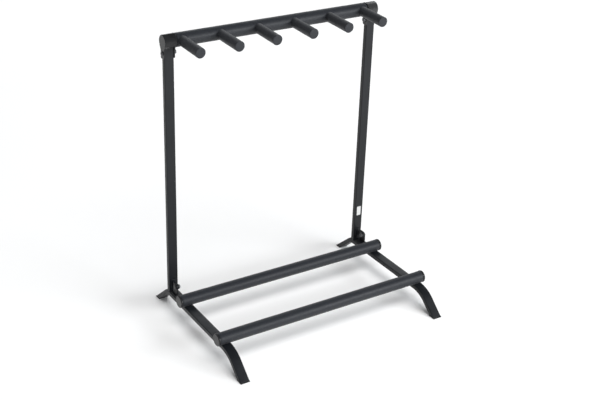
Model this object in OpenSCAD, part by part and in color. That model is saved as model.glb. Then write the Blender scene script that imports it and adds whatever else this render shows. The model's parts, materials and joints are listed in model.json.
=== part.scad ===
// Folding guitar rack: two bent side rails joined by two padded lower bars carry an upright frame
// with a padded top bar and six padded pegs. The upright frame folds forward over the base.
// Millimetres. +X to the right, +Y to the back, +Z up, origin on the floor at the middle of the footprint.

/* [Frame] */
// Distance between the middles of the two side rails
rail_spacing = 555; // [540:1:700]
// Depth of the footprint, from the front feet to the rear feet
foot_span = 440; // [436:1:460]
// Height of the flat top of a side rail
rail_top = 54; // [53.5:0.1:54.5]
// Slope of the legs at both ends of a rail, in degrees
leg_slope = 41; // [40:0.5:43]
// Radius of a rail's front bend, at the tube's middle
front_bend_r = 74; // [60:1:76]
// Radius of a rail's rear bend, at the tube's middle
rear_bend_r = 20; // [16:1:24]
// Distance of the uprights' middle plane behind the origin
upright_y = 146; // [144:0.5:148]
// Height of the upper end of the uprights
upright_top = 686; // [620:1:760]
// Height of the top bar's axis above the uprights' upper end
top_axis_rise = 16; // [15:0.5:17]

/* [Steel tube] */
// Width of the rectangular tube
tube_w = 24; // [23:0.5:26]
// Thickness of the rectangular tube
tube_t = 12; // [11.5:0.5:12.5]
// Outer corner radius of the rectangular tube
tube_corner = 1.8; // [1.5:0.1:2.5]
// Wall of every tube
tube_wall = 1.2; // [1:0.1:1.5]
// Diameter of the three round bars
bar_d = 22; // [21:0.5:22]

/* [Foam] */
// Diameter of the top bar's foam
top_foam_d = 33; // [31:0.5:35]
// Diameter of the lower bars' foam
bar_foam_d = 30.5; // [28:0.5:31]
// Diameter of the pegs' foam
peg_foam_d = 25; // [22:0.5:26]
// Thickness of the foam over the end of a peg
peg_foam_tip = 3; // [2:0.5:5]

/* [Lower bars] */
// Place of the rear lower bar, from front to back
rear_bar_y = 71; // [60:1:76]
// Place of the front lower bar, from front to back
front_bar_y = -119; // [-119:1:-90]
// How far a bar's end cap stands out past its rail
cap_overhang = 9.5; // [8:0.5:11]
// Diameter of a bar's end cap
cap_d = 31; // [29:0.5:32]

/* [Pegs] */
// Number of pegs
peg_count = 6; // [6]
// Distance from one peg to the next
peg_pitch = 98.5; // [92:0.5:99]
// Distance from the top bar's axis to the tip of a peg
peg_reach = 99; // [80:1:102]
// How far the pegs droop towards their tips, in degrees
peg_droop = 1.5; // [0:0.5:4]
// Diameter of a peg's rod
peg_rod_d = 14; // [12:0.5:15]

/* [Hinge] */
// Place of the hinge axis in front of the uprights' middle plane
pivot_forward = 27; // [26:0.5:28]
// Height of the hinge axis above the rail
pivot_rise = 23; // [22.5:0.5:24]
// Radius of the round corner of the bracket's ear
ear_r = 8.5; // [8:0.5:10]
// Diameter of the hinge bolts and of the other bolts
bolt_d = 6; // [6]

/* [Hidden] */
$fn = 64;

far = 400;
eps = 0.5;
powder_black = "#2b2b2d";
foam_black = "#35363a";
plastic_black = "#232427";
zinc_black = "#4a4b4e";
rubber_black = "#1c1c1d";
nylon_grey = "#515254";

rail_x = rail_spacing / 2;
rail_outer_x = rail_x + tube_w / 2;
rail_inner_x = rail_x - tube_w / 2;
rail_bottom = rail_top - tube_t;
foot_t = 2.5;
foot_plug_z = 18;
plug_gap = 0.15;
bolt_r = bolt_d / 2;
bolt_hole_r = bolt_r + 0.2;
turning_r = bolt_r + 0.05;
nut_across_flats = 10;
nut_r = nut_across_flats / 2 / cos(30);

bar_r = bar_d / 2;
bar_z = rail_top + bar_r;
bar_bore_r = bar_r - tube_wall;
foam_gap = 0.05;
cap_t = 4.5;
cap_outer_x = rail_outer_x + cap_overhang;
cap_inner_x = cap_outer_x - cap_t;
cap_plug = 11;
rivet_nut_r = 4.4;
rivet_nut_top = rail_top + 9;
bar_bolt_end = rail_top + 8;

upright_bottom = rail_top + 2;
upright_seat_gap = 0.3;
upright_front = upright_y - tube_t / 2;
pivot_y = upright_y - pivot_forward;
pivot_z = rail_top + pivot_rise;
tongue_t = 4;
tongue_r = 6.5;
tongue_flange_t = 2.5;
tongue_flange_w = 16;
tongue_flange_half = 11;
washer_t = 0.8;
washer_r = 6.2;
washer_in = tongue_t / 2 + 0.1;
ear_in = washer_in + washer_t;
ear_t = 2.5;
ear_out = ear_in + ear_t;
ear_back = 12;
hinge_nut_t = 2.6;
bracket_base_t = 2.5;
bracket_base_w = 20;
bracket_base_front = ear_r + 3;
bracket_base_back = 17;

top_z = upright_top + top_axis_rise;
head_r = top_foam_d / 2 - 0.25;
head_lip_r = head_r + 0.5;
head_lip_t = 2.2;
head_bevel = 1;
clevis_ear_t = 2;
clevis_out_x = rail_outer_x + clevis_ear_t;
clevis_in_x = rail_inner_x - clevis_ear_t;
head_in_x = clevis_in_x - 2;
head_skin = 5;
strap_half = 8;
strap_corner = 4;
strap_bottom = upright_top - 24;
neck_half = 6.5;
top_bolt_z = upright_top - 11;
tube_end_x = clevis_out_x - head_skin;
top_foam_x = head_in_x - 1;

peg_r = peg_foam_d / 2;
rod_r = peg_rod_d / 2;
rod_bore_r = rod_r - tube_wall;
peg_plug_t = 1.5;
peg_plug_len = 10;
peg_tip_y = upright_y - peg_reach;
rod_tip_y = peg_tip_y + peg_foam_tip + peg_plug_t;
rod_solid = 16;
screw_head_r = 5;
screw_head_t = 3;
screw_end_y = upright_y - bar_r - 12;

function peg_x(i) = (i - (peg_count + 1) / 2) * peg_pitch;

// ---------- shared shapes ----------

module on_left() {
    mirror([1, 0, 0]) children();
}

// A cylinder along +X from x0 to x1.
module rod_x(r, x0, x1, y, z, sides = $fn) {
    translate([x0, y, z]) rotate([0, 90, 0]) cylinder(r = r, h = x1 - x0, $fn = sides);
}

// A cylinder along +Y from y0 to y1.
module rod_y(r, y0, y1, x, z) {
    translate([x, y0, z]) rotate([-90, 0, 0]) cylinder(r = r, h = y1 - y0);
}

// Turns what lies along -Y from the top bar's axis down by the pegs' droop.
module drooped() {
    translate([0, upright_y, top_z]) rotate([peg_droop, 0, 0]) translate([0, -upright_y, -top_z]) children();
}

// An outline drawn as (Y, Z), extruded along +X from x0 to x1.
module slab_x(x0, x1) {
    translate([x0, 0, 0]) rotate([90, 0, 90]) linear_extrude(x1 - x0) children();
}

// The rectangular tube's outline, width along X. Shrunk by inset on every side, it has sharp corners.
module tube_outline(inset = 0) {
    w = tube_w - 2 * inset;
    t = tube_t - 2 * inset;
    c = inset > 0 ? 0 : tube_corner;
    square([w - 2 * c, t], center = true);
    if (c > 0) {
        square([w, t - 2 * c], center = true);
        for (sx = [-1, 1], sy = [-1, 1])
            translate([sx * (w / 2 - c), sy * (t / 2 - c)]) circle(c);
    }
}

// Domed head with a hexagon socket, its flat face at z = 0.
module button_head(r, h) {
    difference() {
        intersection() {
            cylinder(r = r, h = h);
            translate([0, 0, h - 1.6 * r]) sphere(1.6 * r);
        }
        translate([0, 0, h - 2]) cylinder(r = 0.42 * r, h = 3, $fn = 6);
    }
}

// Hexagon nut on a bolt along X, from x0 to x1.
module nut_x(x0, x1, y, z) {
    difference() {
        rod_x(nut_r, x0, x1, y, z, sides = 6);
        rod_x(bolt_r, x0 - eps, x1 + eps, y, z);
    }
}

// ---------- side rail ----------

function arc(centre, r, from, to, steps = 16) =
    [for (k = [0:steps]) let (a = from + (to - from) * k / steps) centre + r * [cos(a), sin(a)]];

function reversed(points) = [for (k = [len(points) - 1:-1:0]) points[k]];

// Side outline of one half of a rail, towards +Y: its bend and the leg below it, from top to underside.
function half_rail(bend_r, inset) = let (
    t = tube_t - 2 * inset,
    vertex_y = foot_span / 2 - rail_top / tan(leg_slope),
    bend_y = vertex_y - (bend_r + tube_t / 2) * tan(leg_slope / 2),
    centre = [bend_y, rail_top - tube_t / 2 - bend_r],
    down = 2 * rail_top * [cos(leg_slope), -sin(leg_slope)],
    top = arc(centre, bend_r + t / 2, 90, 90 - leg_slope),
    under = arc(centre, bend_r - t / 2, 90 - leg_slope, 90)
) concat(top, [top[len(top) - 1] + down, under[0] + down], under);

module rail_bar(inset = 0) {
    rear = half_rail(rear_bend_r, inset);
    front = [for (p = reversed(half_rail(front_bend_r, inset))) [-p[0], p[1]]];
    slab_x(rail_inner_x + inset, rail_outer_x - inset) polygon(concat(rear, front));
}

module rail() {
    color(powder_black) difference() {
        rail_bar();
        rail_bar(tube_wall);
        translate([-far, -far, foot_t - far]) cube([2 * far, 2 * far, far]);
        for (y = [front_bar_y, rear_bar_y])
            translate([rail_x, y, rail_bottom - eps]) cylinder(r = bolt_hole_r, h = tube_t + 2 * eps);
    }
}

// Rubber foot cap: a sole as wide as the tube's slanted end, with a plug up inside the leg.
module foot(toward) {
    low_y = toward < 0 ? -far : 0;
    color(rubber_black) {
        intersection() {
            rail_bar();
            translate([0, low_y, 0]) cube([far, far, foot_t]);
        }
        intersection() {
            rail_bar(tube_wall + plug_gap);
            translate([0, low_y, foot_t - eps]) cube([far, far, foot_plug_z - foot_t]);
        }
    }
}

// ---------- lower bars ----------

module lower_bar_tube(y) {
    color(powder_black) difference() {
        rod_x(bar_r, -cap_inner_x, cap_inner_x, y, bar_z);
        rod_x(bar_bore_r, -cap_inner_x - eps, cap_inner_x + eps, y, bar_z);
        for (s = [-1, 1]) translate([s * rail_x, y, rail_top - eps]) cylinder(r = rivet_nut_r, h = bar_r);
    }
}

// Foam sleeve with a flat cut where it crosses each rail, and a hole there for the bolt.
module lower_bar_foam(y) {
    cut_w = tube_w + 1;
    color(foam_black) difference() {
        rod_x(bar_foam_d / 2, 0.3 - cap_inner_x, cap_inner_x - 0.3, y, bar_z);
        rod_x(bar_r + foam_gap, -cap_inner_x, cap_inner_x, y, bar_z);
        for (s = [-1, 1]) translate([s * rail_x, y, rail_top]) {
            translate([-cut_w / 2, -bar_foam_d, 0.1 - bar_foam_d]) cube([cut_w, 2 * bar_foam_d, bar_foam_d]);
            cylinder(r = rivet_nut_r, h = bar_r);
        }
    }
}

// Round end cap, made for the right end: a disc with a bevelled rim and a plug inside the bar.
module bar_cap(y) {
    rim = cap_d / 2;
    bevel = 1.2;
    color(plastic_black) translate([cap_inner_x, y, bar_z]) rotate([0, 90, 0]) {
        rotate_extrude() polygon([[0, 0], [rim, 0], [rim, cap_t - bevel], [rim - bevel, cap_t], [0, cap_t]]);
        translate([0, 0, -cap_plug]) cylinder(r = bar_bore_r - plug_gap, h = cap_plug + eps);
    }
}

// Bolts that rise through the rails into the bars.
module bar_bolts() {
    color(zinc_black) for (s = [-1, 1], y = [front_bar_y, rear_bar_y]) translate([s * rail_x, y, 0]) {
        translate([0, 0, rail_bottom]) mirror([0, 0, 1]) button_head(5.2, 3.6);
        translate([0, 0, rail_bottom - eps]) cylinder(r = bolt_r, h = bar_bolt_end - rail_bottom + eps);
    }
}

module bar_rivet_nuts() {
    color(zinc_black) for (s = [-1, 1], y = [front_bar_y, rear_bar_y]) difference() {
        intersection() {
            translate([s * rail_x, y, rail_top]) cylinder(r = rivet_nut_r, h = rivet_nut_top - rail_top);
            rod_x(bar_r, s * rail_x - 2 * rivet_nut_r, s * rail_x + 2 * rivet_nut_r, y, bar_z);
        }
        translate([s * rail_x, y, rail_top - eps]) cylinder(r = bolt_r, h = far);
    }
}

// ---------- folding hinge, made for the right side ----------

// Angle bracket: a base plate on the rail, and one ear on the outer side of the tongue.
module hinge_bracket() {
    ear_low = rail_top + bracket_base_t;
    color(powder_black) {
        translate([rail_x - bracket_base_w / 2, pivot_y - bracket_base_front, rail_top])
            cube([bracket_base_w, bracket_base_front + bracket_base_back, bracket_base_t]);
        slab_x(rail_x + ear_in, rail_x + ear_out) difference() {
            union() {
                translate([pivot_y, pivot_z]) circle(ear_r);
                translate([pivot_y - ear_r, ear_low - eps]) square([ear_r + ear_back, pivot_z - ear_low + eps]);
                translate([pivot_y, pivot_z - eps]) square([ear_back, ear_r + eps]);
            }
            translate([pivot_y, pivot_z]) circle(turning_r);
        }
    }
}

// The bolt's head is on the inner side of the rack, on a washer, and its nut on the ear's outer side.
module hinge_bolt() {
    color(zinc_black) {
        translate([rail_x - ear_in, pivot_y, pivot_z]) rotate([0, -90, 0]) {
            cylinder(r = 5.2, h = 0.8);
            translate([0, 0, 0.8 - eps]) button_head(4.4, 3.4 + eps);
        }
        rod_x(bolt_r, rail_x - ear_in - eps, rail_x + ear_out + hinge_nut_t + 0.6, pivot_y, pivot_z);
    }
}

module hinge_nut() {
    color(zinc_black) nut_x(rail_x + ear_out, rail_x + ear_out + hinge_nut_t, pivot_y, pivot_z);
}

module hinge_washers() {
    color(nylon_grey) for (s = [-1, 1], x0 = [-washer_in - washer_t, washer_in]) difference() {
        rod_x(washer_r, s * rail_x + x0, s * rail_x + x0 + washer_t, pivot_y, pivot_z);
        rod_x(turning_r, s * rail_x + x0 - eps, s * rail_x + x0 + washer_t + eps, pivot_y, pivot_z);
    }
}

// Plate that turns in the bracket, with a flange welded to the upright's front face.
module hinge_tongue() {
    color(powder_black) {
        slab_x(rail_x - tongue_t / 2, rail_x + tongue_t / 2) difference() {
            union() {
                translate([pivot_y, pivot_z]) circle(tongue_r);
                translate([pivot_y, pivot_z - tongue_r]) square([upright_front - pivot_y, 2 * tongue_r]);
            }
            translate([pivot_y, pivot_z]) circle(turning_r);
        }
        translate([rail_x - tongue_flange_w / 2, upright_front - tongue_flange_t, pivot_z - tongue_flange_half])
            cube([tongue_flange_w, tongue_flange_t, 2 * tongue_flange_half]);
    }
}

// ---------- upper frame ----------

module upright() {
    color(powder_black) difference() {
        translate([rail_x, upright_y, upright_bottom])
            linear_extrude(upright_top - upright_bottom) difference() {
                tube_outline();
                tube_outline(tube_wall);
            }
        rod_x(bolt_hole_r, rail_inner_x - eps, rail_outer_x + eps, upright_y, top_bolt_z);
    }
}

module upright_plug() {
    seat = rail_top + upright_seat_gap;
    color(plastic_black) translate([rail_x, upright_y, 0]) {
        translate([0, 0, seat]) linear_extrude(upright_bottom - seat) tube_outline();
        translate([0, 0, upright_bottom - eps]) linear_extrude(12) tube_outline(tube_wall + plug_gap);
    }
}

// Side outline of the top bracket's strap: it tapers from the round head and ends with round corners.
module strap_outline() {
    shoulder = 9;
    shoulder_half = sqrt(head_r * head_r - shoulder * shoulder);
    taper_end = top_axis_rise + 4;
    translate([upright_y, top_z]) polygon([
        [-shoulder_half, -shoulder], [shoulder_half, -shoulder],
        [strap_half, -taper_end], [-strap_half, -taper_end]
    ]);
    translate([upright_y - strap_half, strap_bottom + strap_corner])
        square([2 * strap_half, top_z - strap_bottom - strap_corner]);
    translate([upright_y - strap_half + strap_corner, strap_bottom])
        square([2 * (strap_half - strap_corner), 2 * strap_corner]);
    for (s = [-1, 1])
        translate([upright_y + s * (strap_half - strap_corner), strap_bottom + strap_corner])
            circle(strap_corner);
}

// T-shaped fitting, made for the right end: a round head for the top bar over two ears for the upright.
module top_bracket() {
    head_len = clevis_out_x - head_in_x;
    color(plastic_black) difference() {
        union() {
            translate([head_in_x, upright_y, top_z]) rotate([0, 90, 0]) rotate_extrude() polygon([
                [0, 0], [head_lip_r, 0], [head_lip_r, head_lip_t - 0.5], [head_r, head_lip_t],
                [head_r, head_len - head_bevel], [head_r - head_bevel, head_len], [0, head_len]
            ]);
            slab_x(clevis_in_x, rail_inner_x) strap_outline();
            slab_x(rail_outer_x, clevis_out_x) strap_outline();
            translate([rail_inner_x - eps, upright_y - neck_half, upright_top])
                cube([tube_w + 2 * eps, 2 * neck_half, top_axis_rise]);
        }
        rod_x(bar_r + foam_gap, head_in_x - eps, tube_end_x, upright_y, top_z);
        rod_x(bolt_hole_r, clevis_in_x - eps, clevis_out_x + eps, upright_y, top_bolt_z);
    }
}

module top_bolt() {
    color(zinc_black) {
        translate([clevis_out_x, upright_y, top_bolt_z]) rotate([0, 90, 0]) button_head(4.8, 3.6);
        rod_x(bolt_r, clevis_in_x - 5.6, clevis_out_x + eps, upright_y, top_bolt_z);
    }
}

module top_nut() {
    color(zinc_black) nut_x(clevis_in_x - 4.8, clevis_in_x, upright_y, top_bolt_z);
}

module top_bar_tube() {
    color(powder_black) difference() {
        rod_x(bar_r, -tube_end_x, tube_end_x, upright_y, top_z);
        rod_x(bar_bore_r, -tube_end_x - eps, tube_end_x + eps, upright_y, top_z);
        for (i = [1:peg_count])
            drooped() rod_y(bolt_hole_r, upright_y - 2 * bar_r, upright_y + 2 * bar_r, peg_x(i), top_z);
    }
}

// Foam sleeve, with a hole for each peg's rod and a pocket for each screw's head.
module top_bar_foam() {
    color(foam_black) difference() {
        rod_x(top_foam_d / 2, -top_foam_x, top_foam_x, upright_y, top_z);
        rod_x(bar_r + foam_gap, -top_foam_x - eps, top_foam_x + eps, upright_y, top_z);
        drooped() for (i = [1:peg_count]) {
            rod_y(rod_r + plug_gap, upright_y - top_foam_d, upright_y, peg_x(i), top_z);
            rod_y(screw_head_r + 0.5, upright_y, upright_y + bar_r + screw_head_t + 0.3, peg_x(i), top_z);
        }
    }
}

// Screws that pull the pegs against the top bar from behind.
module peg_screws() {
    back = upright_y + bar_r;
    color(zinc_black) drooped() for (i = [1:peg_count]) {
        difference() {
            rod_y(screw_head_r, back - 2, back + screw_head_t, peg_x(i), top_z);
            rod_x(bar_r, peg_x(i) - 2 * screw_head_r, peg_x(i) + 2 * screw_head_r, upright_y, top_z);
        }
        rod_y(bolt_r, screw_end_y, back + 1, peg_x(i), top_z);
    }
}

module peg_rod(i) {
    color(powder_black) drooped() difference() {
        rod_y(rod_r, rod_tip_y, upright_y - bar_r / 2, peg_x(i), top_z);
        rod_y(rod_bore_r, rod_tip_y - eps, upright_y - bar_r - rod_solid, peg_x(i), top_z);
        rod_y(bolt_r, rod_tip_y, upright_y, peg_x(i), top_z);
        rod_x(bar_r, peg_x(i) - 2 * rod_r, peg_x(i) + 2 * rod_r, upright_y, top_z);
    }
}

module peg_plug(i) {
    color(plastic_black) drooped() {
        rod_y(rod_r, rod_tip_y - peg_plug_t, rod_tip_y, peg_x(i), top_z);
        rod_y(rod_bore_r - plug_gap, rod_tip_y - eps, rod_tip_y + peg_plug_len, peg_x(i), top_z);
    }
}

// Closed foam sleeve: its open end fits against the top bar's foam.
module peg_foam(i) {
    bevel = 1.2;
    color(foam_black) drooped() difference() {
        translate([peg_x(i), peg_tip_y, top_z]) rotate([-90, 0, 0]) rotate_extrude() polygon([
            [0, 0], [peg_r - bevel, 0], [peg_r, bevel], [peg_r, peg_reach - bar_r], [0, peg_reach - bar_r]
        ]);
        rod_y(rod_r + foam_gap, peg_tip_y + peg_foam_tip, upright_y, peg_x(i), top_z);
        rod_x(top_foam_d / 2 + 0.3, peg_x(i) - peg_foam_d, peg_x(i) + peg_foam_d, upright_y, top_z);
    }
}

// ---------- nodes ----------

on_left() rail();  // left_rail
rail();  // right_rail
on_left() foot(-1);  // left_front_foot
on_left() foot(1);  // left_rear_foot
foot(-1);  // right_front_foot
foot(1);  // right_rear_foot
lower_bar_tube(front_bar_y);  // front_bar_tube
lower_bar_tube(rear_bar_y);  // rear_bar_tube
lower_bar_foam(front_bar_y);  // front_bar_foam
lower_bar_foam(rear_bar_y);  // rear_bar_foam
on_left() bar_cap(front_bar_y);  // front_bar_left_cap
bar_cap(front_bar_y);  // front_bar_right_cap
on_left() bar_cap(rear_bar_y);  // rear_bar_left_cap
bar_cap(rear_bar_y);  // rear_bar_right_cap
bar_bolts();
bar_rivet_nuts();
on_left() hinge_bracket();  // left_hinge_bracket
hinge_bracket();  // right_hinge_bracket
on_left() hinge_bolt();  // left_hinge_bolt
hinge_bolt();  // right_hinge_bolt
on_left() hinge_nut();  // left_hinge_nut
hinge_nut();  // right_hinge_nut
hinge_washers();
on_left() upright();  // left_upright
upright();  // right_upright
on_left() upright_plug();  // left_upright_plug
upright_plug();  // right_upright_plug
on_left() hinge_tongue();  // left_hinge_tongue
hinge_tongue();  // right_hinge_tongue
on_left() top_bracket();  // left_top_bracket
top_bracket();  // right_top_bracket
on_left() top_bolt();  // left_top_bolt
top_bolt();  // right_top_bolt
on_left() top_nut();  // left_top_nut
top_nut();  // right_top_nut
top_bar_tube();
top_bar_foam();
peg_screws();
for (i = [1:peg_count]) {
    peg_rod(i);
    peg_plug(i);
    peg_foam(i);
}
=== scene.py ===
"""Looks of the folding guitar rack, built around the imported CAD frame."""
import json
import math

import bmesh
import bpy
from mathutils import Matrix, Vector, noise


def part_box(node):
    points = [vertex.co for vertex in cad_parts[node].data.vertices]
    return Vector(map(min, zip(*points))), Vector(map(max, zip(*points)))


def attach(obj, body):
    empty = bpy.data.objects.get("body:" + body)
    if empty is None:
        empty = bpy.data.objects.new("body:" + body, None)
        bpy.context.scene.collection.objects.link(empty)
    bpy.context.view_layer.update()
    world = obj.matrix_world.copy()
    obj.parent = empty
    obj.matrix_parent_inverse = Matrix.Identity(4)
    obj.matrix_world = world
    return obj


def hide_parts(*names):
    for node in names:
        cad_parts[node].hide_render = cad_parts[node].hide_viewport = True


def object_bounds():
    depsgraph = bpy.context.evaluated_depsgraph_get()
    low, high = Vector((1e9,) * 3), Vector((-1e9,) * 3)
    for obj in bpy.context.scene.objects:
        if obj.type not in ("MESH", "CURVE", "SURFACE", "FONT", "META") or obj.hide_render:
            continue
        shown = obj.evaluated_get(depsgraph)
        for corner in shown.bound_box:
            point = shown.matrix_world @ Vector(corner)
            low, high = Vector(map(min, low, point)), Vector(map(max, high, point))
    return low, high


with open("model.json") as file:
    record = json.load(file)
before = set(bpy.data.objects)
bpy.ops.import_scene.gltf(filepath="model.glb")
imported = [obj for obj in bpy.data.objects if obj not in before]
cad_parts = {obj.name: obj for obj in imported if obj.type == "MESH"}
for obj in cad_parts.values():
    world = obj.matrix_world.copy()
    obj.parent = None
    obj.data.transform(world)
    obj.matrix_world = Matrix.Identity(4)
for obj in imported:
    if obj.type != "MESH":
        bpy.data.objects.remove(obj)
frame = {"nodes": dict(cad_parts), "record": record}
CAD_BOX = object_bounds()
MM = 0.001

# ---------------------------------------------------------------- camera

CAMERA_AZIMUTH = -33.21
CAMERA_ELEVATION = 26.67
CAMERA_ROLL = 2.10
CAMERA_LENS = 68.13
CAMERA_DISTANCE = 2.720
CAMERA_TARGET = Vector((-0.0149, -0.0165, 0.3129))


def heading(azimuth, elevation):
    """Unit vector from the rack towards an azimuth (0 in front, 90 on the right) and an elevation."""
    a, e = math.radians(azimuth), math.radians(elevation)
    return Vector((math.sin(a) * math.cos(e), -math.cos(a) * math.cos(e), math.sin(e)))


def make_camera():
    azimuth, roll = math.radians(CAMERA_AZIMUTH), math.radians(CAMERA_ROLL)
    back = heading(CAMERA_AZIMUTH, CAMERA_ELEVATION)
    level = Vector((math.cos(azimuth), math.sin(azimuth), 0.0))
    upright = back.cross(level)
    right = math.cos(roll) * level + math.sin(roll) * upright
    up = math.cos(roll) * upright - math.sin(roll) * level
    data = bpy.data.cameras.new("camera")
    data.lens = CAMERA_LENS
    data.sensor_width = 36.0
    data.clip_start = 0.05
    data.clip_end = 60.0
    camera = bpy.data.objects.new("camera", data)
    bpy.context.scene.collection.objects.link(camera)
    turn = Matrix((right, up, back)).transposed().to_4x4()
    camera.matrix_world = Matrix.Translation(CAMERA_TARGET + back * CAMERA_DISTANCE) @ turn
    bpy.context.scene.camera = camera


make_camera()

# ---------------------------------------------------------------- material helpers

NOISE_ROUGHNESS = 0.55


class Graph:
    """Short way to add and join shader nodes in one material."""

    def __init__(self, name):
        self.material = bpy.data.materials.new(name)
        self.material.use_nodes = True
        self.tree = self.material.node_tree
        self.shader = next(n for n in self.tree.nodes if n.type == "BSDF_PRINCIPLED")
        self.place = self.add("ShaderNodeTexCoord").outputs["Object"]

    def add(self, kind, **values):
        node = self.tree.nodes.new(kind)
        for key, value in values.items():
            setattr(node, key, value)
        return node

    def join(self, source, target):
        self.tree.links.new(source, target)

    def noise(self, scale, detail=3.0, stretch=(1.0, 1.0, 1.0)):
        spread = self.add("ShaderNodeMapping")
        spread.inputs["Scale"].default_value = stretch
        self.join(self.place, spread.inputs["Vector"])
        node = self.add("ShaderNodeTexNoise")
        node.inputs["Scale"].default_value = scale
        node.inputs["Detail"].default_value = detail
        node.inputs["Roughness"].default_value = NOISE_ROUGHNESS
        self.join(spread.outputs["Vector"], node.inputs["Vector"])
        return node.outputs["Fac"]

    def cells(self, scale):
        node = self.add("ShaderNodeTexVoronoi", feature="F1")
        node.inputs["Scale"].default_value = scale
        self.join(self.place, node.inputs["Vector"])
        return node.outputs["Distance"]

    def between(self, fac, low, high, start=0.3, end=0.7):
        node = self.add("ShaderNodeMapRange")
        node.inputs["From Min"].default_value = start
        node.inputs["From Max"].default_value = end
        node.inputs["To Min"].default_value = low
        node.inputs["To Max"].default_value = high
        self.join(fac, node.inputs["Value"])
        return node.outputs["Result"]

    def mix(self, fac, dark, light):
        node = self.add("ShaderNodeMix", data_type="RGBA")
        for value, socket in ((dark, node.inputs["A"]), (light, node.inputs["B"])):
            if isinstance(value, bpy.types.NodeSocket):
                self.join(value, socket)
            else:
                socket.default_value = (*value, 1.0)
        self.join(fac, node.inputs["Factor"])
        return node.outputs["Result"]

    def product(self, first, second):
        node = self.add("ShaderNodeMath", operation="MULTIPLY", use_clamp=True)
        self.join(first, node.inputs[0])
        self.join(second, node.inputs[1])
        return node.outputs["Value"]

    def worn_edge(self, width, amount):
        """1 on sharp outer edges, broken up by a fine noise, 0 on flat faces."""
        bevel = self.add("ShaderNodeBevel", samples=6)
        bevel.inputs["Radius"].default_value = width
        geometry = self.add("ShaderNodeNewGeometry")
        dot = self.add("ShaderNodeVectorMath", operation="DOT_PRODUCT")
        self.join(bevel.outputs["Normal"], dot.inputs[0])
        self.join(geometry.outputs["Normal"], dot.inputs[1])
        edge = self.between(dot.outputs["Value"], amount, 0.0, 0.86, 0.995)
        return self.product(edge, self.between(self.noise(260.0), 0.25, 1.0))

    def bump(self, height, strength, distance, below=None):
        node = self.add("ShaderNodeBump")
        node.inputs["Strength"].default_value = strength
        node.inputs["Distance"].default_value = distance
        self.join(height, node.inputs["Height"])
        if below is not None:
            self.join(below, node.inputs["Normal"])
        return node.outputs["Normal"]

    def finish(self, colour, roughness, normal=None, **constants):
        for value, name in ((colour, "Base Color"), (roughness, "Roughness"), (normal, "Normal")):
            if value is not None:
                self.join(value, self.shader.inputs[name])
        for name, value in constants.items():
            self.shader.inputs[name.replace("_", " ")].default_value = value
        return self.material


def powder_coat():
    """Satin black powder coat on steel: a fine orange peel, faint blotches and rubbed edges."""
    g = Graph("powder_coat")
    blotch = g.noise(14.0, 4.0)
    edge = g.worn_edge(0.0012, 0.55)
    base = g.mix(g.between(blotch, 0.0, 1.0), (0.0042, 0.0050, 0.0066), (0.0070, 0.0081, 0.0104))
    colour = g.mix(edge, base, (0.060, 0.060, 0.064))
    rough = g.between(g.noise(55.0, 3.0), 0.36, 0.46)
    peel = g.noise(1400.0, 2.0)
    grain = g.noise(5200.0, 1.0)
    normal = g.bump(grain, 0.10, 0.00004, g.bump(peel, 0.22, 0.00010))
    return g.finish(colour, rough, normal, Specular_IOR_Level=0.31)


def foam():
    """Closed-cell foam with a matt skin: a fine pitted cell grain with painted shade in each pit, soft
    mottling and a slight sheen.
    """
    g = Graph("foam")
    mottle = g.noise(260.0, 4.0)
    base = g.mix(g.between(mottle, 0.0, 1.0), (0.0078, 0.0092, 0.0123), (0.0148, 0.0169, 0.0222))
    pore_depth = g.cells(1500.0)
    # painted shade: the colour goes darker towards the middle of each pore, where the bump below dents the
    # skin
    colour = g.mix(g.between(pore_depth, 0.35, 0.0, 0.05, 0.45), base, (0.0045, 0.0050, 0.0060))
    rough = g.between(g.noise(330.0, 4.0), 0.47, 0.62)
    soft = g.bump(g.noise(75.0, 3.0), 0.35, 0.00030)
    fine = g.bump(g.noise(2100.0, 2.0), 0.30, 0.00008, soft)
    normal = g.bump(pore_depth, 0.28, 0.00010, fine)
    return g.finish(colour, rough, normal, Specular_IOR_Level=0.36, Sheen_Weight=0.06, Sheen_Roughness=0.55)


def black_plastic():
    """Moulded black nylon: semi-gloss, with a faint mould texture and paler edges."""
    g = Graph("black_plastic")
    edge = g.worn_edge(0.0008, 0.35)
    base = g.mix(g.between(g.noise(30.0, 3.0), 0.0, 1.0), (0.0110, 0.0115, 0.0125), (0.0160, 0.0165, 0.0180))
    colour = g.mix(edge, base, (0.045, 0.046, 0.050))
    rough = g.between(g.noise(80.0, 4.0), 0.20, 0.28)
    normal = g.bump(g.noise(900.0, 2.0), 0.08, 0.00006)
    return g.finish(colour, rough, normal, Specular_IOR_Level=0.36)


def black_zinc():
    """Black zinc plated steel, as on bolts and nuts: dark metal with fine turning marks and bright edges."""
    g = Graph("black_zinc")
    edge = g.worn_edge(0.0004, 0.60)
    base = g.mix(g.between(g.noise(160.0, 4.0), 0.0, 1.0), (0.075, 0.075, 0.080), (0.130, 0.130, 0.138))
    colour = g.mix(edge, base, (0.42, 0.42, 0.43))
    rough = g.between(g.noise(700.0, 3.0, stretch=(1.0, 6.0, 1.0)), 0.26, 0.42)
    normal = g.bump(g.noise(2600.0, 2.0), 0.15, 0.00004)
    return g.finish(colour, rough, normal, Metallic=0.85)


def foot_rubber():
    """Matt black rubber, dusty and slightly scuffed."""
    g = Graph("foot_rubber")
    dust = g.noise(220.0, 5.0)
    colour = g.mix(g.between(dust, 0.0, 1.0, 0.45, 0.75), (0.0075, 0.0075, 0.0080), (0.0220, 0.0215, 0.0210))
    rough = g.between(dust, 0.70, 0.90)
    return g.finish(colour, rough, g.bump(g.noise(1500.0, 3.0), 0.35, 0.00010), Specular_IOR_Level=0.30)


def nylon():
    """Dark grey nylon washer."""
    g = Graph("nylon")
    colour = g.mix(g.noise(300.0, 3.0), (0.060, 0.060, 0.064), (0.090, 0.090, 0.095))
    return g.finish(colour, g.between(g.noise(500.0), 0.40, 0.55), g.bump(g.noise(1200.0), 0.15, 0.00005))


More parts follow.
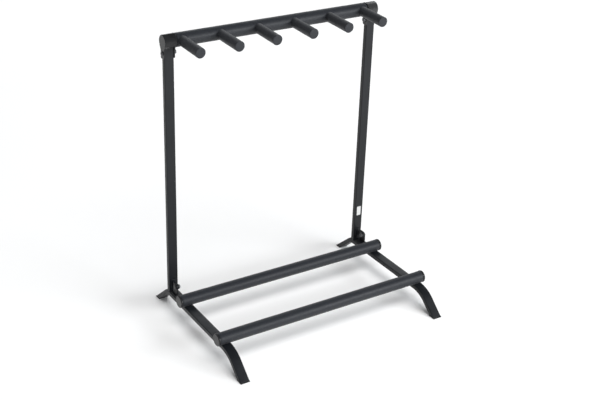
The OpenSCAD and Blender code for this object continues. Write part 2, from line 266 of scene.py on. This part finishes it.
MATERIALS = {
    "powder_coat": powder_coat(),
    "foam": foam(),
    "black_plastic": black_plastic(),
    "black_zinc": black_zinc(),
    "foot_rubber": foot_rubber(),
    "nylon": nylon(),
}
SLOT_OF = {subpart["node"]: subpart["material_slot"] for subpart in frame["record"]["subparts"]}
BEVEL_WIDTH = {
    "powder_coat": 0.5 * MM,
    "black_plastic": 0.6 * MM,
    "black_zinc": 0.25 * MM,
    "nylon": 0.15 * MM,
}
BEVEL_FROM = math.radians(50)
WELD_WITHIN = 0.002 * MM


def dress_cad_nodes():
    """Every CAD node gets its slot's material, and steel and plastic ones a small bevel on sharp edges."""
    for name, node in frame["nodes"].items():
        slot = SLOT_OF[name]
        for spot in node.material_slots:
            spot.material = MATERIALS[slot]
        if slot in BEVEL_WIDTH:
            weld = node.modifiers.new("weld", "WELD")
            weld.merge_threshold = WELD_WITHIN
            bevel = node.modifiers.new("bevel", "BEVEL")
            bevel.width = BEVEL_WIDTH[slot]
            bevel.segments = 3
            bevel.limit_method = "ANGLE"
            bevel.angle_limit = BEVEL_FROM
            bevel.harden_normals = True


dress_cad_nodes()

# ---------------------------------------------------------------- mesh helpers

CORNER_STEPS = 5


def mesh_object(name, bm, smooth_angle=40.0):
    """An object from a bmesh, shaded smooth wherever its faces meet at less than smooth_angle degrees."""
    bmesh.ops.recalc_face_normals(bm, faces=bm.faces)
    mesh = bpy.data.meshes.new(name)
    bm.to_mesh(mesh)
    bm.free()
    for polygon in mesh.polygons:
        polygon.use_smooth = True
    mesh.set_sharp_from_angle(angle=math.radians(smooth_angle))
    made = bpy.data.objects.new(name, mesh)
    bpy.context.scene.collection.objects.link(made)
    return made


def rounded_corner(corner, before, after, radius):
    """Points of an arc that rounds a corner of an outline, between its neighbours before and after."""
    to_before = (Vector(before) - Vector(corner)).normalized()
    to_after = (Vector(after) - Vector(corner)).normalized()
    half = to_before.angle(to_after) / 2
    reach = radius / math.tan(half)
    centre = Vector(corner) + (to_before + to_after).normalized() * (radius / math.sin(half))
    first = Vector(corner) + to_before * reach - centre
    last = Vector(corner) + to_after * reach - centre
    shares = [step / CORNER_STEPS for step in range(CORNER_STEPS + 1)]
    return [tuple(centre + first.slerp(last, share) * radius) for share in shares]


def rounded_outline(corners):
    """An outline from (point, radius) pairs; a radius of 0 keeps the corner sharp."""
    points = []
    for k, (corner, radius) in enumerate(corners):
        before, after = corners[k - 1][0], corners[(k + 1) % len(corners)][0]
        points += rounded_corner(corner, before, after, radius) if radius else [tuple(corner)]
    return points


def subdivided(points, longest):
    """The closed outline with no side longer than longest."""
    fine = []
    for k, point in enumerate(points):
        after = points[(k + 1) % len(points)]
        gap = (Vector(after) - Vector(point)).length
        parts = max(1, math.ceil(gap / longest))
        fine += [tuple(Vector(point).lerp(Vector(after), part / parts)) for part in range(parts)]
    return fine


def lathe(outline, place, around, shape):
    """A closed skin turned from (along, radius) points about place's x axis, each point moved by shape."""
    bm = bmesh.new()
    poles = {}
    rings = []
    for k in range(around):
        angle = 2 * math.pi * k / around
        ring = []
        for i, (along, radius) in enumerate(outline):
            if i not in poles:
                point = Vector((along, radius * math.sin(angle), radius * math.cos(angle)))
                ring.append(bm.verts.new(place @ shape(point, along, radius)))
                if radius == 0:
                    poles[i] = ring[-1]
            else:
                ring.append(poles[i])
        rings.append(ring)
    for k, here in enumerate(rings):
        there = rings[(k + 1) % around]
        for i in range(len(outline)):
            j = (i + 1) % len(outline)
            corners = list(dict.fromkeys((here[i], here[j], there[j], there[i])))
            if len(corners) > 2:
                bm.faces.new(corners)
    return bm


def middle(node):
    """The centre of a CAD node's box."""
    low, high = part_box(node)
    return (low + high) / 2


def finish_piece(piece, slot, body, *nodes):
    """Give a piece its material and body, and let it stand for its CAD nodes."""
    piece.data.materials.append(MATERIALS[slot])
    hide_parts(*nodes)
    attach(piece, body)


# ---------------------------------------------------------------- side rails

TUBE_THICK = 12 * MM
TUBE_CORNER = 1.8 * MM
LEG_SLOPE = math.radians(41)
FRONT_BEND = 74 * MM
REAR_BEND = 20 * MM
FLAT_STEP = 12 * MM
BEND_STEPS = 24


def half_path(toward, foot_y, top, bend):
    """Middle line of half a rail, from its flat top over the bend to below the floor.

    It is a list of (point, up) pairs in Y and Z, and toward is 1 for the rear half and -1 for the front.
    """
    vertex = foot_y - top / math.tan(LEG_SLOPE)
    bend_y = vertex - (bend + TUBE_THICK / 2) * math.tan(LEG_SLOPE / 2)
    centre = Vector((bend_y, top - TUBE_THICK / 2 - bend))
    path = []
    for step in range(BEND_STEPS + 1):
        angle = math.pi / 2 - LEG_SLOPE * step / BEND_STEPS
        up = Vector((math.cos(angle), math.sin(angle)))
        path.append((centre + up * bend, up))
    last, up = path[-1]
    path.append((last + Vector((math.cos(LEG_SLOPE), -math.sin(LEG_SLOPE))) * top, up))
    return [(Vector((toward * p.x, p.y)), Vector((toward * u.x, u.y))) for p, u in path]


def rail(name, node, foot):
    """The bent tube with its round corners, cut level just above the feet."""
    low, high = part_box(node)
    top = high.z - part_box(foot)[0].z
    foot_y = CAD_BOX[1].y
    rear = half_path(1, foot_y, top, REAR_BEND)
    front = half_path(-1, foot_y, top, FRONT_BEND)
    flat_from, flat_to = front[0][0].x, rear[0][0].x
    count = math.ceil((flat_to - flat_from) / FLAT_STEP)
    flat = [(Vector((flat_from + (flat_to - flat_from) * k / count, rear[0][0].y)), Vector((0, 1)))
            for k in range(1, count)]
    path = front[::-1] + flat + rear
    half_w, half_t = (high.x - low.x) / 2, TUBE_THICK / 2
    section = rounded_outline([((-half_w, -half_t), TUBE_CORNER), ((half_w, -half_t), TUBE_CORNER),
                               ((half_w, half_t), TUBE_CORNER), ((-half_w, half_t), TUBE_CORNER)])
    # the first and last ring slide along their legs to the level cut
    down_leg = {0: Vector((0, -math.cos(LEG_SLOPE), -math.sin(LEG_SLOPE))),
                len(path) - 1: Vector((0, math.cos(LEG_SLOPE), -math.sin(LEG_SLOPE)))}
    bm = bmesh.new()
    rings = []
    for k, (point, up) in enumerate(path):
        ring = []
        for across, out in section:
            spot = Vector(((low.x + high.x) / 2 + across, point.x + up.x * out, point.y + up.y * out))
            if k in down_leg:
                spot += down_leg[k] * ((spot.z - low.z) / math.sin(LEG_SLOPE))
            ring.append(bm.verts.new(spot))
        rings.append(ring)
    for here, there in zip(rings, rings[1:]):
        for i in range(len(section)):
            j = (i + 1) % len(section)
            bm.faces.new((here[i], here[j], there[j], there[i]))
    bm.faces.new(rings[0])
    bm.faces.new(rings[-1])
    finish_piece(mesh_object(name, bm, 30.0), "powder_coat", "base", node)


rail("left_rail_tube", "left_rail", "left_front_foot")
rail("right_rail_tube", "right_rail", "right_front_foot")

# ---------------------------------------------------------------- foam sleeves

FOAM_GAP = 0.05 * MM
BAR_LIP = 2.2 * MM
BAR_STEP = 4.0 * MM
BAR_SIDES = 96
BAR_EVEN_BORE = 0.2 * MM
CUT_SIDE_GAP = 0.5 * MM
CUT_TOP_GAP = 0.1 * MM
CUT_REACH = 30 * MM
# waves per metre along and around a sleeve, height of the waves, and how deep the skin sits on average
BAR_WAVES = (6, 30, 0.25 * MM, 0.12 * MM)
PEG_WAVES = (14, 40, 0.20 * MM, 0.10 * MM)


def bulge(point, along, waves, seed):
    """Outward step of a sleeve's skin at a point: smoothly random, and the same in each run."""
    waves_along, waves_around, height, depth = waves
    where = Vector((along * waves_along, point.y * waves_around, point.z * waves_around))
    change = height * noise.noise(where + Vector((seed, 3.1 * seed, 7.7 * seed))) - depth
    return Vector((0, point.y, point.z)).normalized() * change


def bar_sleeve(name, foam_node, tube_node, body, seed, cuts=()):
    """A softly uneven foam tube on a round bar, with rounded ends and flat cuts where it meets a rail."""
    low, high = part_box(foam_node)
    centre = middle(tube_node)
    half = (high.x - low.x) / 2
    outer = high.z - centre.z
    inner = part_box(tube_node)[1].z - centre.z + FOAM_GAP
    outline = subdivided(rounded_outline([((-half, inner), 0), ((-half, outer), BAR_LIP),
                                          ((half, outer), BAR_LIP), ((half, inner), 0)]), BAR_STEP)

    def uneven(point, along, radius):
        if radius < inner + BAR_EVEN_BORE:
            return point
        return point + bulge(point, along, BAR_WAVES, seed) * ((radius - inner) / (outer - inner))

    place = Matrix.Translation((0, centre.y, centre.z))
    piece = mesh_object(name, lathe(outline, place, BAR_SIDES, uneven))
    for low_cut, high_cut in cuts:
        cut_with_box(piece, low_cut, high_cut)
    finish_piece(piece, "foam", body, foam_node)


def cut_with_box(piece, low, high):
    """Take the box between two corner points out of a piece's mesh."""
    bm = bmesh.new()
    bmesh.ops.create_cube(bm, size=1.0)
    size = Vector(high) - Vector(low)
    place = Matrix.Translation((Vector(low) + Vector(high)) / 2) @ Matrix.Diagonal((*size, 1.0))
    bmesh.ops.transform(bm, matrix=place, verts=bm.verts)
    cutter = mesh_object("cutter", bm)
    cut = piece.modifiers.new("cut", "BOOLEAN")
    cut.operation = "DIFFERENCE"
    cut.solver = "EXACT"
    cut.object = cutter
    bpy.context.view_layer.update()
    graph = bpy.context.evaluated_depsgraph_get()
    cut_mesh = bpy.data.meshes.new_from_object(piece.evaluated_get(graph))
    piece.modifiers.clear()
    old = piece.data
    piece.data = cut_mesh
    bpy.data.meshes.remove(old)
    bpy.data.objects.remove(cutter)


def rail_cuts(bar_node):
    """The two blocks of space that the rails take out of a lower bar's foam."""
    y = middle(bar_node).y
    cuts = []
    for rail_node in ("left_rail", "right_rail"):
        low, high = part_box(rail_node)
        cuts.append(((low.x - CUT_SIDE_GAP, y - CUT_REACH, high.z - CUT_REACH),
                     (high.x + CUT_SIDE_GAP, y + CUT_REACH, high.z + CUT_TOP_GAP)))
    return cuts


bar_sleeve("top_bar_sleeve", "top_bar_foam", "top_bar_tube", "upper_frame", 1.0)
bar_sleeve("front_bar_sleeve", "front_bar_foam", "front_bar_tube", "base", 2.0, rail_cuts("front_bar_tube"))
bar_sleeve("rear_bar_sleeve", "rear_bar_foam", "rear_bar_tube", "base", 3.0, rail_cuts("rear_bar_tube"))

PEG_STEP = 2.0 * MM
PEG_SIDES = 72
PEG_TIP_ROUND = 1.3 * MM
PEG_TIP_CROWN = 0.4 * MM
PEG_TIP_FACE = 0.5 * MM
PEG_TIP_SKIN = 3.0 * MM
PEG_SEAM = 0.35 * MM
PEG_SEAM_BACK = 3.2 * MM
PEG_EVEN_BORE = 0.5 * MM
PEG_EVEN_TIP = 4.0 * MM
PEG_BAR_GAP = 0.15 * MM
# where a peg's straight skin ends, and the furthest that its end wraps, as shares of the bar foam's radius
PEG_ROOT_SHARE = 0.75
PEG_HUG_SHARE = 0.98
PEG_ROOT_MARGIN = 0.1 * MM
PEG_FIRST_SEED = 10.0


def peg_sleeve(number):
    """A closed foam sleeve on a peg: a rounded tip, and an open end that hugs the top bar's foam."""
    foam_node = f"peg_foam_{number}"
    bar_low, bar_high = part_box("top_bar_foam")
    bar_centre = middle("top_bar_tube")
    bar_radius = (bar_high.z - bar_low.z) / 2 + PEG_BAR_GAP
    low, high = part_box(foam_node)
    rod_low, rod_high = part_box(f"peg_rod_{number}")
    outer = (high.x - low.x) / 2
    inner = (rod_high.x - rod_low.x) / 2 + FOAM_GAP
    plug = middle(f"peg_plug_{number}")
    reach = bar_centre.y - low.y
    droop = math.atan2(bar_centre.z - plug.z, bar_centre.y - plug.y)
    root = bar_radius * PEG_ROOT_SHARE
    seam = -reach + PEG_SEAM_BACK
    outline = subdivided(rounded_outline([
        ((-reach, 0), 0), ((-reach, outer), PEG_TIP_ROUND),
        ((seam - PEG_SEAM, outer), 0), ((seam, outer - PEG_SEAM), 0), ((seam + PEG_SEAM, outer), 0),
        ((-root, outer), 0), ((-root, inner), 0),
        ((-reach + PEG_TIP_SKIN, inner), 0), ((-reach + PEG_TIP_SKIN, 0), 0)]), PEG_STEP)

    def shaped(point, along, radius):
        if along > -root - PEG_ROOT_MARGIN:
            height = min(abs(point.z), bar_radius * PEG_HUG_SHARE)
            return Vector((-math.sqrt(bar_radius ** 2 - height ** 2), point.y, point.z))
        if radius > inner + PEG_EVEN_BORE and along > -reach + PEG_EVEN_TIP:
            point = point + bulge(point, along, PEG_WAVES, PEG_FIRST_SEED + number)
        if along < -reach + PEG_TIP_FACE:
            point.x += PEG_TIP_CROWN * (radius / outer) ** 2
        return point

    along_peg = Vector((0, math.cos(droop), math.sin(droop)))
    side = Vector((1, 0, 0))
    turn = Matrix((along_peg, side, along_peg.cross(side))).transposed().to_4x4()
    place = Matrix.Translation(((low.x + high.x) / 2, bar_centre.y, bar_centre.z)) @ turn
    piece = mesh_object(f"peg_sleeve_{number}", lathe(outline, place, PEG_SIDES, shaped))
    finish_piece(piece, "foam", "upper_frame", foam_node)


for peg in range(1, 7):
    peg_sleeve(peg)

# ---------------------------------------------------------------- label

LABEL_WIDTH = 12 * MM
LABEL_LOW = 128 * MM
LABEL_HIGH = 154 * MM
LABEL_THICK = 0.15 * MM
LABEL_CORNER = 1.5 * MM


def label():
    """A blank pale sticker low on the right upright's front face."""
    low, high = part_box("right_upright")
    centre_x, centre_z = (low.x + high.x) / 2, (LABEL_LOW + LABEL_HIGH) / 2
    half_w, half_h = LABEL_WIDTH / 2, (LABEL_HIGH - LABEL_LOW) / 2
    outline = rounded_outline([((-half_w, -half_h), LABEL_CORNER), ((half_w, -half_h), LABEL_CORNER),
                               ((half_w, half_h), LABEL_CORNER), ((-half_w, half_h), LABEL_CORNER)])
    bm = bmesh.new()
    rings = []
    for y in (low.y, low.y - LABEL_THICK):
        rings.append([bm.verts.new((centre_x + x, y, centre_z + z)) for x, z in outline])
    for k in range(len(outline)):
        after = (k + 1) % len(outline)
        bm.faces.new((rings[0][k], rings[0][after], rings[1][after], rings[1][k]))
    for ring in rings:
        bm.faces.new(ring)
    piece = mesh_object("blank_label", bm, 30.0)
    g = Graph("label_film")
    colour = g.mix(g.noise(350.0, 4.0), (0.50, 0.50, 0.50), (0.62, 0.62, 0.61))
    rough = g.between(g.noise(600.0), 0.35, 0.5)
    piece.data.materials.append(g.finish(colour, rough, g.bump(g.noise(900.0), 0.2, 0.00004)))
    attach(piece, "upper_frame")


label()

# ---------------------------------------------------------------- floor and light

FLOOR_HALF = 14.0
WORLD_HORIZON = 0.60
WORLD_ZENITH = 0.12
WORLD_DIM_HEIGHT = 0.8
SUN_FROM = Vector((0.04, -0.45, 1.0))
SUN_POWER = 2.45
SUN_SPREAD = 46.0
SOFTBOX_TINT = (0.95, 0.98, 1.0)
SOFTBOXES = (
    # name, azimuth, elevation, distance, width, height, power
    ("key", 33.0, 18.0, 5.0, 3.0, 0.9, 200.0),
    ("back", 147.0, 27.0, 5.0, 5.0, 2.2, 40.0),
)


def make_floor():
    bm = bmesh.new()
    bmesh.ops.create_grid(bm, x_segments=2, y_segments=2, size=FLOOR_HALF)
    floor = mesh_object("floor", bm)
    g = Graph("floor_paint")
    colour = g.mix(g.noise(1.2, 2.0), (0.86, 0.86, 0.86), (0.88, 0.88, 0.88))
    rough = g.between(g.noise(6.0), 0.75, 0.85)
    floor.data.materials.append(g.finish(colour, rough, Specular_IOR_Level=0.1))


def make_world():
    """Even studio light: bright round the horizon, dimmer overhead."""
    world = bpy.data.worlds.new("studio")
    bpy.context.scene.world = world
    world.use_nodes = True
    tree = world.node_tree
    background = tree.nodes["Background"]
    where = tree.nodes.new("ShaderNodeTexCoord")
    split = tree.nodes.new("ShaderNodeSeparateXYZ")
    ramp = tree.nodes.new("ShaderNodeMapRange")
    ramp.inputs["From Min"].default_value = 0.0
    ramp.inputs["From Max"].default_value = WORLD_DIM_HEIGHT
    ramp.inputs["To Min"].default_value = WORLD_HORIZON
    ramp.inputs["To Max"].default_value = WORLD_ZENITH
    tree.links.new(where.outputs["Generated"], split.inputs["Vector"])
    tree.links.new(split.outputs["Z"], ramp.inputs["Value"])
    tree.links.new(ramp.outputs["Result"], background.inputs["Color"])


def make_lights():
    """A wide soft light from above for the floor, and low softboxes that draw the long highlights."""
    sun = bpy.data.lights.new("overhead", "SUN")
    sun.energy = SUN_POWER
    sun.angle = math.radians(SUN_SPREAD)
    overhead = bpy.data.objects.new("overhead", sun)
    bpy.context.scene.collection.objects.link(overhead)
    overhead.rotation_mode = "QUATERNION"
    overhead.rotation_quaternion = (-SUN_FROM).to_track_quat("-Z", "Y")
    overhead.visible_glossy = False
    centre = (CAD_BOX[0] + CAD_BOX[1]) / 2
    for name, azimuth, elevation, distance, width, height, power in SOFTBOXES:
        place = centre + heading(azimuth, elevation) * distance
        data = bpy.data.lights.new(name, "AREA")
        data.shape = "RECTANGLE"
        data.size = width
        data.size_y = height
        data.energy = power
        data.color = SOFTBOX_TINT
        light = bpy.data.objects.new(name, data)
        bpy.context.scene.collection.objects.link(light)
        light.location = place
        light.rotation_mode = "QUATERNION"
        light.rotation_quaternion = (centre - place).to_track_quat("-Z", "Y")


make_floor()
make_world()
make_lights()
scene = bpy.context.scene
scene.view_settings.view_transform = "Standard"
scene.view_settings.look = "None"
